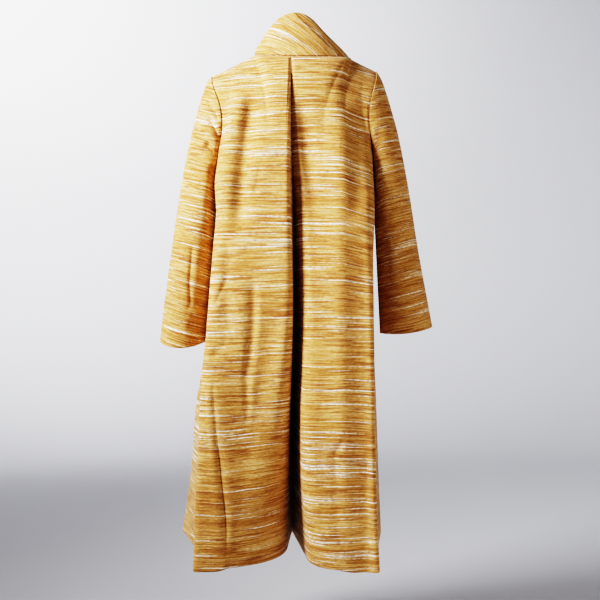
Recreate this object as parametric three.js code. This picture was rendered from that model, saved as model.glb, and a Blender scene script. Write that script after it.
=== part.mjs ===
// A long swing coat in its worn, hollow form: two backs with a deep fold at the centre back,
// two lapped fronts, two set-in sleeves and a wrapped collar of two layers.
// Millimetres, +Z up. The back faces -Y, the wearer's right is +X, and the origin is inside the
// neck opening, at the height of the nape. Every piece is a thin closed wall.
import * as THREE from 'three';

// ---------------------------------------------------------------- driving dimensions
const CLOTH = 2;            // thickness of the heavy woven cloth
const SEAM_GAP = 0.3;       // clearance between two pieces that are sewn together
const HEM_Z = -1158;        // length of the coat at the centre back
const UNDERARM_Z = -235;    // bottom of the armholes
const SHOULDER_Y = 5;       // the shoulder and side seams lie a little forward of the middle
const FRONT_LAP = 45;       // how far each front runs past the centre front
const FRONT_CENTRE_X = 5;
const LAP_LIFT = 2.6;       // half the step between the lapped fronts

// Horizontal sections below the armholes, one row a height. The corners of each section are
// rounded over the given lengths, and the sides run through the side seams.
const SECTIONS = [
  { z: -235, backLeftX: -172, backLeftY: -122, backRightX: 188, backRightY: -122, sideLeftX: -172,
    sideRightX: 190, frontLeftX: -170, frontRightX: 182, frontY: 116, roundLeft: 108, roundRight: 108,
    roundFront: 95 },
  { z: -345, backLeftX: -176, backLeftY: -128, backRightX: 195, backRightY: -130, sideLeftX: -174,
    sideRightX: 188, frontLeftX: -186, frontRightX: 190, frontY: 128, roundLeft: 62, roundRight: 75,
    roundFront: 90 },
  { z: -450, backLeftX: -183, backLeftY: -138, backRightX: 194, backRightY: -142, sideLeftX: -180,
    sideRightX: 187, frontLeftX: -200, frontRightX: 196, frontY: 138, roundLeft: 42, roundRight: 55,
    roundFront: 85 },
  { z: -565, backLeftX: -190, backLeftY: -150, backRightX: 193, backRightY: -156, sideLeftX: -188,
    sideRightX: 188, frontLeftX: -214, frontRightX: 202, frontY: 150, roundLeft: 30, roundRight: 45,
    roundFront: 80 },
  { z: -680, backLeftX: -197, backLeftY: -162, backRightX: 192, backRightY: -170, sideLeftX: -197,
    sideRightX: 192, frontLeftX: -228, frontRightX: 208, frontY: 162, roundLeft: 24, roundRight: 38,
    roundFront: 72 },
  { z: -820, backLeftX: -204, backLeftY: -176, backRightX: 191, backRightY: -186, sideLeftX: -219,
    sideRightX: 197, frontLeftX: -256, frontRightX: 215, frontY: 175, roundLeft: 20, roundRight: 32,
    roundFront: 64 },
  { z: -1000, backLeftX: -211, backLeftY: -193, backRightX: 192, backRightY: -204, sideLeftX: -229,
    sideRightX: 201, frontLeftX: -271, frontRightX: 222, frontY: 188, roundLeft: 16, roundRight: 28,
    roundFront: 52 },
  { z: -1158, backLeftX: -216, backLeftY: -205, backRightX: 196, backRightY: -219, sideLeftX: -235,
    sideRightX: 205, frontLeftX: -295, frontRightX: 230, frontY: 200, roundLeft: 13, roundRight: 26,
    roundFront: 42 },
];

// The centre back fold, one row a height: where each panel turns in, the deepest line, and the
// length over which each lip is rounded. It starts as a seam and opens towards the hem.
const FOLD = [
  { z: 0, lipLeftX: -3.4, lipLeftY: -70, lipRightX: -2.6, lipRightY: -70, deepX: -3, deepY: -60,
    roundLeft: 5, roundRight: 5 },
  { z: -235, lipLeftX: -8, lipLeftY: -126, lipRightX: 11, lipRightY: -104, deepX: -2, deepY: -84,
    roundLeft: 9, roundRight: 12 },
  { z: -345, lipLeftX: -6, lipLeftY: -135, lipRightX: 17, lipRightY: -114, deepX: 2, deepY: -64,
    roundLeft: 13, roundRight: 24 },
  { z: -565, lipLeftX: 0, lipLeftY: -153, lipRightX: 27, lipRightY: -144, deepX: 4, deepY: -22,
    roundLeft: 22, roundRight: 30 },
  { z: -700, lipLeftX: -2, lipLeftY: -161, lipRightX: 27, lipRightY: -162, deepX: 2, deepY: 8,
    roundLeft: 38, roundRight: 32 },
  { z: -850, lipLeftX: -8, lipLeftY: -165, lipRightX: 23, lipRightY: -182, deepX: -2, deepY: 42,
    roundLeft: 62, roundRight: 34 },
  { z: -1000, lipLeftX: -13, lipLeftY: -168, lipRightX: 27, lipRightY: -194, deepX: -3, deepY: 76,
    roundLeft: 92, roundRight: 42 },
  { z: -1158, lipLeftX: -19, lipLeftY: -170, lipRightX: 42, lipRightY: -206, deepX: -3, deepY: 112,
    roundLeft: 124, roundRight: 58 },
];
const HEM_RISE = 12;        // how much higher the hem hangs inside the fold
const RISE_FROM = 11;       // the hem starts to rise at this column, and is up at the fold

// Shoulder tips, the armhole ovals and how far their edges run in at mid height.
const SHOULDERS = {
  left: { out: -1, tipX: -194, tipZ: -29, underX: -172, steps: 6 },
  right: { out: 1, tipX: 199, tipZ: -17, underX: 190, steps: 4 },
};
const ARMHOLE_PINCH = 16;
const ARMHOLE_BACK = 62;
const ARMHOLE_FRONT = 58;
const ARMHOLE_FULLNESS = 0.8;   // below 1 the oval is fuller than an ellipse
const ARMHOLE_LENS = 0.6;       // share by which its ends are drawn to a point, so edges stay steep
const STEEP_BACK = 50;          // degrees by which the cloth leaves the neck seam downwards
const STEEP_FRONT = 42;

// Neck seam and collar rim, as ovals round the neck. The angle is 0 at the back and 90 degrees
// on the wearer's right. The neck seam reaches further over the right shoulder.
const NECK = { centreX: 24, halfWidth: 116, back: 72, front: 80, riseLeft: 20, riseRight: 12, frontDrop: 60 };
const RIM = {
  centreX: 7, halfWidth: 76, centreY: 5, halfDepth: 55, sideZ: 52, backRise: 58, frontDrop: 60,
};
const COLLAR_BULGE = 7;
const COLLAR_POINT = 1.5;       // how far the rim's height gathers at front and back
const COLLAR_SEAT = 1.6;   // the collar's lower edge stands just above the neck edge
const CENTRE_BACK_X = -3;
const FLANGE_DROP = 4;      // the fold's top edge hangs a little inside the neck seam

// The outer layer of the collar runs round the left front, the back and the right shoulder. Its
// upper edge falls to the right in a straight line, as shares of the collar's height.
const WRAP = {
  from: -165, to: 47, columns: 34, atBack: 0.92, fallPerDegree: 0.0195, most: 0.985, least: 0.06,
};
const INNER = { from: -198, to: 198, columns: 44, lowest: 0.035, lapFrom: -140, lapOver: 20 };

// Long soft troughs that the cloth falls into, each along a straight line in the back view.
const TROUGHS = [
  { panel: 'back_left', topX: -94, topZ: -70, endX: -132, endZ: -440, width: 15, depth: 10 },
  { panel: 'back_left', topX: -90, topZ: -500, endX: -92, endZ: -760, width: 15, depth: 5 },
  { panel: 'back_left', topX: -166, topZ: -850, endX: -138, endZ: -1158, width: 10, depth: 6 },
  { panel: 'back_right', topX: 150, topZ: -90, endX: 146, endZ: -620, width: 22, depth: 11 },
  { panel: 'back_right', topX: 96, topZ: -860, endX: 88, endZ: -1158, width: 16, depth: 5 },
  { panel: 'front_left', topX: -120, topZ: -330, endX: -150, endZ: -1158, width: 20, depth: 9 },
  { panel: 'front_right', topX: 118, topZ: -300, endX: 140, endZ: -1158, width: 20, depth: 9 },
];

// Cuffs: centre, half width, half depth, how much higher the outer side is, and how far the edge
// hangs down at front and back. The sleeve swells outside the straight lines from armhole to cuff.
const SLEEVES = {
  left: { cuffX: -265, cuffY: 30, cuffZ: -671, halfWidth: 55, halfDepth: 75, tilt: 0, droop: 7,
    swell: [{ t: 0, out: 0 }, { t: 0.03, out: 8 }, { t: 0.12, out: 16 }, { t: 0.33, out: 22 },
      { t: 0.6, out: 16 }, { t: 0.8, out: 9 }, { t: 1, out: 0 }] },
  right: { cuffX: 274, cuffY: 30, cuffZ: -640, halfWidth: 61, halfDepth: 75, tilt: 8, droop: 3,
    swell: [{ t: 0, out: 0 }, { t: 0.04, out: 8 }, { t: 0.13, out: 14 }, { t: 0.25, out: 18 },
      { t: 0.45, out: 15 }, { t: 0.7, out: 6 }, { t: 1, out: 0 }] },
};
const SLEEVE_STEPS = 14;
const SLEEVE_CROWD = 1.2;      // above 1 the rings crowd towards the armhole
const UNDERARM_EASE = 3;       // the gap at the underarm, in seam gaps
const SLEEVE_SIDES = 24;

const YOKE_ROWS = 10;
const SLOPE_STEP = 12;       // height over which a section's slope is taken
const SHOULDER_REACH = 0.6;  // how long the cloth keeps its way out of the top edge, as a share
const CHEST_REACH = 1.4;     // how long it keeps the slope of the section below, as a share
const TROUGH_FADE = 0.25;    // share of its length over which a trough starts and ends
const LAP_EASE = { start: 40, over: 35 };   // where the lapped fronts begin to part, and how fast
const ARMHOLE_TRIM = 0.27;   // share of the section that the armhole takes away at mid height
const SKIRT_ROWS = 14;
const COLLAR_ROWS = 5;

// ---------------------------------------------------------------- small helpers
const lerp = (a, b, t) => a + (b - a) * t;
const clamp01 = (t) => Math.min(1, Math.max(0, t));
const smooth = (t) => clamp01(t) ** 2 * (3 - 2 * clamp01(t));
const radians = (degrees) => degrees * Math.PI / 180;
const add = (p, q, k = 1) => [p[0] + q[0] * k, p[1] + q[1] * k, p[2] + q[2] * k];

// Smooth curve through a table's rows (cubic Hermite, slopes from the neighbouring rows).
function follow(rows, key, column, at) {
  const rising = rows[rows.length - 1][key] > rows[0][key];
  const past = (row) => (rising ? row[key] > at : row[key] < at);
  const found = rows.findIndex(past);
  const i = Math.max(0, Math.min(rows.length - 2, (found < 0 ? rows.length : found) - 1));
  const slope = (n) => {
    const a = rows[Math.max(0, n - 1)];
    const b = rows[Math.min(rows.length - 1, n + 1)];
    return (b[column] - a[column]) / (b[key] - a[key]);
  };
  const span = rows[i + 1][key] - rows[i][key];
  const t = clamp01((at - rows[i][key]) / span);
  const h = [2 * t ** 3 - 3 * t ** 2 + 1, t ** 3 - 2 * t ** 2 + t, 3 * t ** 2 - 2 * t ** 3, t ** 3 - t ** 2];
  const [from, to] = [rows[i][column], rows[i + 1][column]];
  return h[0] * from + h[1] * span * slope(i) + h[2] * to + h[3] * span * slope(i + 1);
}

// One row of a table at any height, with every column followed.
function rowAt(rows, key, at) {
  const row = {};
  for (const column of Object.keys(rows[0])) row[column] = follow(rows, key, column, at);
  return row;
}

const LONGEST_ROUND = 0.96;   // a rounding never uses up the whole stretch beside it

// A corner at the middle point, rounded by a quadratic curve over the given length each way.
function roundedCorner(before, corner, after, length, count) {
  const reach = (to) => {
    const dx = to[0] - corner[0];
    const dy = to[1] - corner[1];
    const share = Math.min(length / Math.hypot(dx, dy), LONGEST_ROUND);
    return [corner[0] + dx * share, corner[1] + dy * share];
  };
  const [start, end] = [reach(before), reach(after)];
  const points = [];
  for (let i = 0; i <= count; i += 1) {
    const t = i / count;
    const mix = (k) => (1 - t) ** 2 * start[k] + 2 * t * (1 - t) * corner[k] + t ** 2 * end[k];
    points.push([mix(0), mix(1)]);
  }
  return points;
}

// Shares of a line's length at its points, and the place at any share.
function lengthShares(points) {
  const sums = [0];
  for (let i = 1; i < points.length; i += 1) {
    sums.push(sums[i - 1] + Math.hypot(points[i][0] - points[i - 1][0], points[i][1] - points[i - 1][1]));
  }
  return sums.map((sum) => sum / sums[points.length - 1]);
}

function placeAlong(points, shares, share) {
  const i = Math.max(0, Math.min(points.length - 2, shares.findIndex((at) => at > share) - 1));
  const t = clamp01((share - shares[i]) / (shares[i + 1] - shares[i]));
  if (share >= 1) return points[points.length - 1];
  return points[i].map((value, k) => lerp(value, points[i + 1][k], t));
}

// Points strictly between two ends of a straight stretch.
function between(a, b, count) {
  return Array.from({ length: count - 1 }, (_, i) => {
    const t = (i + 1) / count;
    return [lerp(a[0], b[0], t), lerp(a[1], b[1], t)];
  });
}

// ---------------------------------------------------------------- sections of the body
const FOLD_STEPS = 5;
const LIP_STEPS = 3;
const BACK_STEPS = 5;
const CORNER_STEPS = 4;
const FINE_CORNER = 16;
const SIDE_STEPS = 2;
const FRONT_STEPS = 7;
const LAP_STEPS = 4;

// Back half section on one side, from the bottom of the fold out to the side seam.
function backSection(side, z, cornerSteps = CORNER_STEPS) {
  const body = rowAt(SECTIONS, 'z', z);
  const fold = rowAt(FOLD, 'z', z);
  const left = side === 'left';
  const out = SHOULDERS[side].out;
  const deep = [fold.deepX + out * SEAM_GAP / 2, fold.deepY];
  const lip = left ? [fold.lipLeftX, fold.lipLeftY] : [fold.lipRightX, fold.lipRightY];
  const corner = left ? [body.backLeftX, body.backLeftY] : [body.backRightX, body.backRightY];
  const seam = [left ? body.sideLeftX : body.sideRightX, SHOULDER_Y - SEAM_GAP / 2];
  const lipCurve = roundedCorner(deep, lip, corner, left ? fold.roundLeft : fold.roundRight, LIP_STEPS);
  const sideCurve = roundedCorner(lip, corner, seam, left ? body.roundLeft : body.roundRight, cornerSteps);
  return [
    deep, ...between(deep, lipCurve[0], FOLD_STEPS), ...lipCurve,
    ...between(lipCurve[LIP_STEPS], sideCurve[0], BACK_STEPS), ...sideCurve,
    ...between(sideCurve[cornerSteps], seam, SIDE_STEPS), seam,
  ];
}

// Front half section on one side, from the edge past the centre front round to the side seam.
function frontSection(side, z, cornerSteps = CORNER_STEPS) {
  const body = rowAt(SECTIONS, 'z', z);
  const left = side === 'left';
  const out = SHOULDERS[side].out;
  const seam = [left ? body.sideLeftX : body.sideRightX, SHOULDER_Y + SEAM_GAP / 2];
  const corner = [left ? body.frontLeftX : body.frontRightX, body.frontY];
  const edge = [FRONT_CENTRE_X - out * FRONT_LAP, body.frontY];
  const curve = roundedCorner(edge, corner, seam, body.roundFront, cornerSteps);
  return [
    edge, ...between(edge, curve[0], FRONT_STEPS), ...curve,
    ...between(curve[cornerSteps], seam, SIDE_STEPS), seam,
  ];
}

// ---------------------------------------------------------------- shoulders, neck and armholes
function neckPoint(angle) {
  const back = Math.cos(angle) > 0;
  const c = Math.cos(angle);
  const s = Math.sin(angle);
  return [
    NECK.centreX + NECK.halfWidth * s,
    SHOULDER_Y * s ** 2 - (back ? NECK.back : NECK.front) * c,
    (s < 0 ? NECK.riseLeft : NECK.riseRight) * s ** 2 - (back ? 0 : NECK.frontDrop * c ** 2),
  ];
}

// Armhole edge: a lens-shaped oval seen from the side, whose x runs in at mid height. The angle
// is 0 at the shoulder tip and 180 degrees at the underarm, positive through the back.
function armholePoint(side, angle) {
  const { tipX, tipZ, underX, out } = SHOULDERS[side];
  const wide = Math.abs(Math.sin(angle));
  const depth = (Math.sin(angle) > 0 ? ARMHOLE_BACK : -ARMHOLE_FRONT) * wide ** ARMHOLE_FULLNESS;
  const turned = Math.acos(Math.cos(angle)) / Math.PI;
  const down = lerp((1 - Math.cos(angle)) / 2, turned, ARMHOLE_LENS);
  return [
    lerp(tipX, underX, down) - out * ARMHOLE_PINCH * wide ** 3,
    SHOULDER_Y - depth,
    lerp(tipZ, UNDERARM_Z, down),
  ];
}

// Where a neck edge starts on the neck oval: beside the centre back, or at a front's lapped edge.
function neckStart(side, face) {
  const { out } = SHOULDERS[side];
  if (face === 'back') {
    const lipX = CENTRE_BACK_X + out * FOLD[0].roundLeft;
    return Math.asin((lipX - NECK.centreX) / NECK.halfWidth);
  }
  const edgeX = FRONT_CENTRE_X - out * FRONT_LAP;
  return out * (Math.PI + Math.asin(-out * (edgeX - NECK.centreX) / NECK.halfWidth));
}

// Top edge of a panel from its centre edge: neck seam, then shoulder seam out to the tip, with
// the way the cloth leaves each point (steep at the neck, level over the shoulder).
function topEdge(side, face, count) {
  const { tipX, tipZ, out, steps } = SHOULDERS[side];
  const turn = face === 'back' ? -1 : 1;
  const steepest = face === 'back' ? STEEP_BACK : STEEP_FRONT;
  const neckSteps = count - steps;
  const start = neckStart(side, face);
  const seamY = SHOULDER_Y + turn * SEAM_GAP / 2;
  const neckEnd = neckPoint(out * Math.PI / 2);
  return Array.from({ length: count + 1 }, (_, i) => {
    if (i < neckSteps) {
      const t = i / neckSteps;
      const angle = lerp(start, out * Math.PI / 2, t);
      const steep = radians(steepest) * Math.cos(angle) ** 2;
      const point = add(neckPoint(angle), [0, turn * SEAM_GAP / 2 * t, 0]);
      return { point, away: [0, turn * Math.cos(steep), -Math.sin(steep)] };
    }
    const t = (i - neckSteps) / steps;
    return { point: [lerp(neckEnd[0], tipX, t), seamY, lerp(neckEnd[2], tipZ, t)], away: [0, turn, 0] };
  });
}

// Top edge of the fold: a short flange at the centre back seam, a little below the neck edge.
function foldTop(side, neckEnd) {
  const row = FOLD[0];
  const deep = [row.deepX + SHOULDERS[side].out * SEAM_GAP / 2, row.deepY];
  const lip = side === 'left' ? [row.lipLeftX, row.lipLeftY] : [row.lipRightX, row.lipRightY];
  const curve = roundedCorner(deep, lip, neckEnd, row.roundLeft, LIP_STEPS);
  const flat = [deep, ...between(deep, curve[0], FOLD_STEPS), ...curve.slice(0, LIP_STEPS)];
  return flat.map(([x, y], i) => ({
    point: [x, y, -FLANGE_DROP * (1 - i / flat.length)],
    away: [0, -Math.cos(radians(STEEP_BACK)), -Math.sin(radians(STEEP_BACK))],
  }));
}

// Cubic Hermite curve in space.
function hermite(p, v, q, w, t) {
  const h = [2 * t ** 3 - 3 * t ** 2 + 1, t ** 3 - 2 * t ** 2 + t, 3 * t ** 2 - 2 * t ** 3, t ** 3 - t ** 2];
  return [0, 1, 2].map((k) => h[0] * p[k] + h[1] * v[k] + h[2] * q[k] + h[3] * w[k]);
}

// How deep the long troughs are at a place in the back view.
function troughDepth(panel, x, z) {
  let depth = 0;
  for (const fold of TROUGHS.filter((row) => row.panel === panel)) {
    const [dx, dz] = [fold.endX - fold.topX, fold.endZ - fold.topZ];
    const length = Math.hypot(dx, dz);
    const along = ((x - fold.topX) * dx + (z - fold.topZ) * dz) / length ** 2;
    const aside = ((x - fold.topX) * dz - (z - fold.topZ) * dx) / length;
    const fadeIn = smooth(along / TROUGH_FADE);
    const fadeOut = fold.endZ <= HEM_Z ? 1 : smooth((1 - along) / TROUGH_FADE);
    depth += fold.depth * fadeIn * fadeOut * Math.exp(-((aside / fold.width) ** 2));
  }
  return depth;
}

// ---------------------------------------------------------------- body panels
// A panel is a grid of rows from its top edge to the hem and columns from its centre edge to the
// side seam. Above the underarm the columns run as smooth curves from the top edge, and the last
// ones are drawn in to the armhole oval. Below it they follow the body's sections.
function panelGrid(side, face) {
  const name = `${face}_${side}`;
  const back = face === 'back';
  const turn = back ? -1 : 1;
  const sectionAt = (z, steps) => (back ? backSection(side, z, steps) : frontSection(side, z, steps));
  const foldColumns = back ? FOLD_STEPS + LIP_STEPS : 0;
  const steady = back ? foldColumns : LAP_STEPS;
  const under = sectionAt(UNDERARM_Z, CORNER_STEPS);
  const count = under.length - 1;
  const shares = lengthShares(under.slice(steady));
  const fine = sectionAt(UNDERARM_Z, FINE_CORNER).slice(steady);
  const fineShares = lengthShares(fine);
  const below = sectionAt(UNDERARM_Z - SLOPE_STEP, FINE_CORNER).slice(steady);
  const belowShares = lengthShares(below);
  const lower = sectionAt(UNDERARM_Z - SLOPE_STEP, CORNER_STEPS);
  const top = topEdge(side, face, count - foldColumns);
  const edge = back ? [...foldTop(side, top[0].point), ...top] : top;
  const foot = (j, at) => {
    if (j < steady) return [under[j], lower[j]];
    const share = shares[j - steady] * (1 - ARMHOLE_TRIM * Math.sin(Math.PI * at));
    return [placeAlong(fine, fineShares, share), placeAlong(below, belowShares, share)];
  };
  const grid = [];
  for (let i = 0; i < YOKE_ROWS; i += 1) {
    const t = i / YOKE_ROWS;
    const column = (j, at) => {
      const { point, away } = edge[j];
      const [end, next] = foot(j, at);
      const slope = [(next[0] - end[0]) / SLOPE_STEP, (next[1] - end[1]) / SLOPE_STEP, -1];
      const under3 = [end[0], end[1], UNDERARM_Z];
      const reach = SHOULDER_REACH * Math.hypot(...add(under3, point, -1));
      const drop = CHEST_REACH * (point[2] - UNDERARM_Z);
      return hermite(point, away.map((v) => v * reach), under3, slope.map((v) => v * drop), at);
    };
    const hole = add(armholePoint(side, -turn * Math.PI * t), [0, turn * SEAM_GAP / 2, 0]);
    const pull = add(hole, column(count, t), -1);
    grid.push(edge.map((_, j) => {
      const share = j < steady ? 0 : shares[j - steady];
      return add(column(j, t), pull, share);
    }));
  }
  for (let i = 0; i <= SKIRT_ROWS; i += 1) {
    const z = lerp(UNDERARM_Z, HEM_Z, i / SKIRT_ROWS);
    const rise = (j) => HEM_RISE * (i / SKIRT_ROWS) * smooth((RISE_FROM - j) / (RISE_FROM - FOLD_STEPS));
    grid.push(sectionAt(z, CORNER_STEPS).map(([x, y], j) => [x, y, z + (back ? rise(j) : 0)]));
  }
  return grid.map((row) => row.map(([x, y, z], j) => {
    const inPanel = smooth((j - foldColumns) / 2) * smooth((count - j) / 2);
    return [x, y - turn * troughDepth(name, x, z) * inPanel, z];
  }));
}

// The lapped fronts part evenly: the right one passes outside, the left one inside.
function lapFront(grid, side, sign) {
  const { out } = SHOULDERS[side];
  const lapStart = FRONT_CENTRE_X + out * (FRONT_LAP + LAP_EASE.start);
  const normals = gridNormals(grid, sign, false);
  return grid.map((row, i) => row.map((point, j) => (
    add(point, normals[i][j], out * LAP_LIFT * smooth(out * (lapStart - point[0]) / LAP_EASE.over))
  )));
}

// ---------------------------------------------------------------- walls from grids
// Unit normals of a grid, from the differences between neighbouring points.
function gridNormals(grid, sign, closed) {
  const rows = grid.length;
  const columns = grid[0].length;
  return grid.map((row, i) => row.map((_, j) => {
    const before = closed ? (j + columns - 1) % columns : Math.max(0, j - 1);
    const after = closed ? (j + 1) % columns : Math.min(columns - 1, j + 1);
    const across = new THREE.Vector3(...add(row[after], row[before], -1));
    const [above, under] = [grid[Math.max(0, i - 1)][j], grid[Math.min(rows - 1, i + 1)][j]];
    const down = new THREE.Vector3(...add(under, above, -1));
    const normal = across.cross(down).normalize().multiplyScalar(sign);
    return normal.toArray();
  }));
}

const offsetGrid = (grid, normals, distance) => grid.map(
  (row, i) => row.map((point, j) => add(point, normals[i][j], distance)),
);

// A closed wall between an outer grid and the same grid moved inwards by the cloth's thickness.
function wallGeometry(outer, sign, closed, normals = gridNormals(outer, sign, closed)) {
  const inner = offsetGrid(outer, normals, -CLOTH);
  const rows = outer.length;
  const columns = outer[0].length;
  const positions = [...outer.flat(), ...inner.flat()].flat();
  const out = (i, j) => i * columns + (j % columns);
  const inn = (i, j) => rows * columns + out(i, j);
  const triangles = [];
  const quad = (a, b, c, d) => (sign > 0
    ? triangles.push(a, b, c, a, c, d) : triangles.push(a, c, b, a, d, c));
  const lastColumn = closed ? columns : columns - 1;
  for (let i = 0; i < rows - 1; i += 1) {
    for (let j = 0; j < lastColumn; j += 1) {
      quad(out(i, j), out(i, j + 1), out(i + 1, j + 1), out(i + 1, j));
      quad(inn(i, j), inn(i + 1, j), inn(i + 1, j + 1), inn(i, j + 1));
    }
  }
  for (let j = 0; j < lastColumn; j += 1) {
    quad(inn(0, j), inn(0, j + 1), out(0, j + 1), out(0, j));
    quad(out(rows - 1, j), out(rows - 1, j + 1), inn(rows - 1, j + 1), inn(rows - 1, j));
  }
  if (!closed) {
    for (let i = 0; i < rows - 1; i += 1) {
      quad(inn(i, 0), out(i, 0), out(i + 1, 0), inn(i + 1, 0));
      quad(out(i, columns - 1), inn(i, columns - 1), inn(i + 1, columns - 1), out(i + 1, columns - 1));
    }
  }
  const geometry = new THREE.BufferGeometry();
  geometry.setAttribute('position', new THREE.Float32BufferAttribute(positions, 3));
  geometry.setIndex(triangles);
  return geometry;
}

// Along the shoulder and side seams the wall's edge stands square to the seam, so that the two
// panels meet edge to edge.
function panelNormals(grid, side, sign) {
  const last = grid[0].length - 1;
  return gridNormals(grid, sign, false).map((row, i) => row.map((normal, j) => {
    const shoulder = i === 0 && j >= last - SHOULDERS[side].steps;
    const sideSeam = i >= YOKE_ROWS && j === last;
    if (!shoulder && !sideSeam) return normal;
    return new THREE.Vector3(normal[0], 0, normal[2]).normalize().toArray();
  }));
}

// ---------------------------------------------------------------- sleeves
// Straight lines from the armhole oval to the cuff oval, swelled on the outer side.
function sleeveGrid(side) {
  const { out } = SHOULDERS[side];
  const cuff = SLEEVES[side];
  const grid = [];
  for (let i = 0; i <= SLEEVE_STEPS; i += 1) {
    const t = (i / SLEEVE_STEPS) ** SLEEVE_CROWD;
    grid.push(Array.from({ length: SLEEVE_SIDES }, (_, j) => {
      const angle = 2 * Math.PI * j / SLEEVE_SIDES;
      const [c, s] = [Math.cos(angle), Math.sin(angle)];
      const gap = lerp(SEAM_GAP, UNDERARM_EASE * SEAM_GAP, (1 - c) / 2);
      const start = add(armholePoint(side, angle), [out * gap, 0, 0]);
      const end = [
        cuff.cuffX + out * cuff.halfWidth * c,
        cuff.cuffY - cuff.halfDepth * s,
        cuff.cuffZ + cuff.tilt * c + cuff.droop * Math.cos(2 * angle),
      ];
      const swell = follow(cuff.swell, 't', 'out', t) * (1 + c) / 2;
      return [0, 1, 2].map((k) => lerp(start[k], end[k], t) + (k === 0 ? out * swell : 0));
    }));
  }
  return grid;
}

// At the armhole the sleeve's wall never leans in over the body panels' edges.
function sleeveNormals(grid, side, sign) {
  const { out } = SHOULDERS[side];
  const normals = gridNormals(grid, sign, true);
  normals[0] = normals[0].map(([x, y, z]) => (
    new THREE.Vector3(out * Math.min(0, out * x), y, z).normalize().toArray()
  ));
  return normals;
}

// ---------------------------------------------------------------- collar
// A cone from the neck seam to the rim, slightly swelled. Height 0 is the seam and 1 the rim.
function collarPoint(angle, height) {
  const [c, s] = [Math.cos(angle), Math.sin(angle)];
  const base = add(neckPoint(angle), [0, 0, COLLAR_SEAT]);
  const lift = Math.abs(c) ** COLLAR_POINT;
  const rim = [
    RIM.centreX + RIM.halfWidth * s,
    RIM.centreY - RIM.halfDepth * c,
    RIM.sideZ + (c > 0 ? RIM.backRise : -RIM.frontDrop) * lift,
  ];
  const swell = COLLAR_BULGE * Math.sin(Math.PI * height);
  return [0, 1, 2].map((k) => lerp(base[k], rim[k], height) + swell * [s, -c, 0][k]);
}

// Rows from the upper edge down to the lower edge, columns from the left front round the back.
function collarGrid(fromAngle, toAngle, columns, topHeight, baseHeight) {
  return Array.from({ length: COLLAR_ROWS + 1 }, (_, i) => Array.from({ length: columns + 1 }, (__, j) => {
    const angle = radians(lerp(fromAngle, toAngle, j / columns));
    return collarPoint(angle, lerp(topHeight(angle), baseHeight, i / COLLAR_ROWS));
  }));
}

function wrapTop(angle) {
  const height = WRAP.atBack - WRAP.fallPerDegree * angle * 180 / Math.PI;
  return Math.min(WRAP.most, Math.max(WRAP.least, height));
}

function collarWrap() {
  return wallGeometry(collarGrid(WRAP.from, WRAP.to, WRAP.columns, wrapTop, 0), -1, false);
}

// The inner layer lies just inside the outer one, and its left end passes under its right end.
function collarInner() {
  const full = collarGrid(INNER.from, INNER.to, INNER.columns, () => 1, INNER.lowest);
  const inside = offsetGrid(full, gridNormals(full, -1, false), -(CLOTH + 2 * SEAM_GAP));
  const lapped = inside.map((row) => row.map(([x, y, z], j) => {
    const angle = lerp(INNER.from, INNER.to, j / INNER.columns);
    const under = smooth((INNER.lapFrom - angle) / INNER.lapOver);
    return [x, y - under * (CLOTH + 3 * SEAM_GAP), z];
  }));
  return wallGeometry(lapped, -1, false);
}

// ---------------------------------------------------------------- the coat
function cloth(shade) {
  return new THREE.MeshStandardMaterial({ color: shade, roughness: 0.9, metalness: 0 });
}

function piece(name, geometry, shade = 0xc9963f) {
  const mesh = new THREE.Mesh(geometry, cloth(shade));
  mesh.name = name;
  return mesh;
}

function panel(side, face) {
  const sign = (face === 'back') === (side === 'left') ? 1 : -1;
  const hung = panelGrid(side, face);
  const grid = face === 'front' ? lapFront(hung, side, sign) : hung;
  return piece(`${face}_${side}`, wallGeometry(grid, sign, false, panelNormals(grid, side, sign)));
}

function sleeve(side) {
  const sign = side === 'left' ? 1 : -1;
  const grid = sleeveGrid(side);
  return piece(`sleeve_${side}`, wallGeometry(grid, sign, true, sleeveNormals(grid, side, sign)));
}

const coat = new THREE.Group();
for (const face of ['back', 'front']) {
  for (const side of ['left', 'right']) coat.add(panel(side, face));
}
for (const side of ['left', 'right']) coat.add(sleeve(side));
coat.add(piece('collar_inner', collarInner(), 0xb5832f));
coat.add(piece('collar_wrap', collarWrap()));

export default coat;
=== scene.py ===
"""A long swing coat as worn: hand-woven slub cotton, a deep fold down the centre back, lapped
fronts, set-in sleeves and a wrapped collar. Metres in Blender, millimetres in the tables."""

import math

import bmesh
import bpy
import numpy as np
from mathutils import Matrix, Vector


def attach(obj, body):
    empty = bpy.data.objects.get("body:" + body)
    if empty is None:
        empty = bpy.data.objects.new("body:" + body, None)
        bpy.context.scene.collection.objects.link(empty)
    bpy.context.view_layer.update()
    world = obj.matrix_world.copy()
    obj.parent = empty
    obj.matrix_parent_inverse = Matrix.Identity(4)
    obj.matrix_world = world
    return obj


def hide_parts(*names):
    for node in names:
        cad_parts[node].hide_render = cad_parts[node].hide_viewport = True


bl_info = {
    "name": "Long swing coat",
    "version": (1, 0, 0),
    "blender": (4, 5, 0),
    "location": "3D View > Sidebar > Coat",
    "description": "Builds a hollow long coat in hand-woven slub cotton, with its stage",
    "category": "Add Mesh",
}

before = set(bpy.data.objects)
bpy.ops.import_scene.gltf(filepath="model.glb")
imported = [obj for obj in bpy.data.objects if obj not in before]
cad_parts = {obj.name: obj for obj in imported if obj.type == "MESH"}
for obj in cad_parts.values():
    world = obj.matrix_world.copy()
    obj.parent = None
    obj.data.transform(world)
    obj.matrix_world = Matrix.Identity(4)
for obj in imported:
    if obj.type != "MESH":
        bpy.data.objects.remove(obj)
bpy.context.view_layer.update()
MM = 0.001

# ------------------------------------------------------------------ small helpers


def table(columns, *rows):
    """A named-column table: one array a column."""
    return dict(zip(columns.split(), np.array(rows, float).T))


def lerp(a, b, t):
    return a + (b - a) * t


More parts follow.
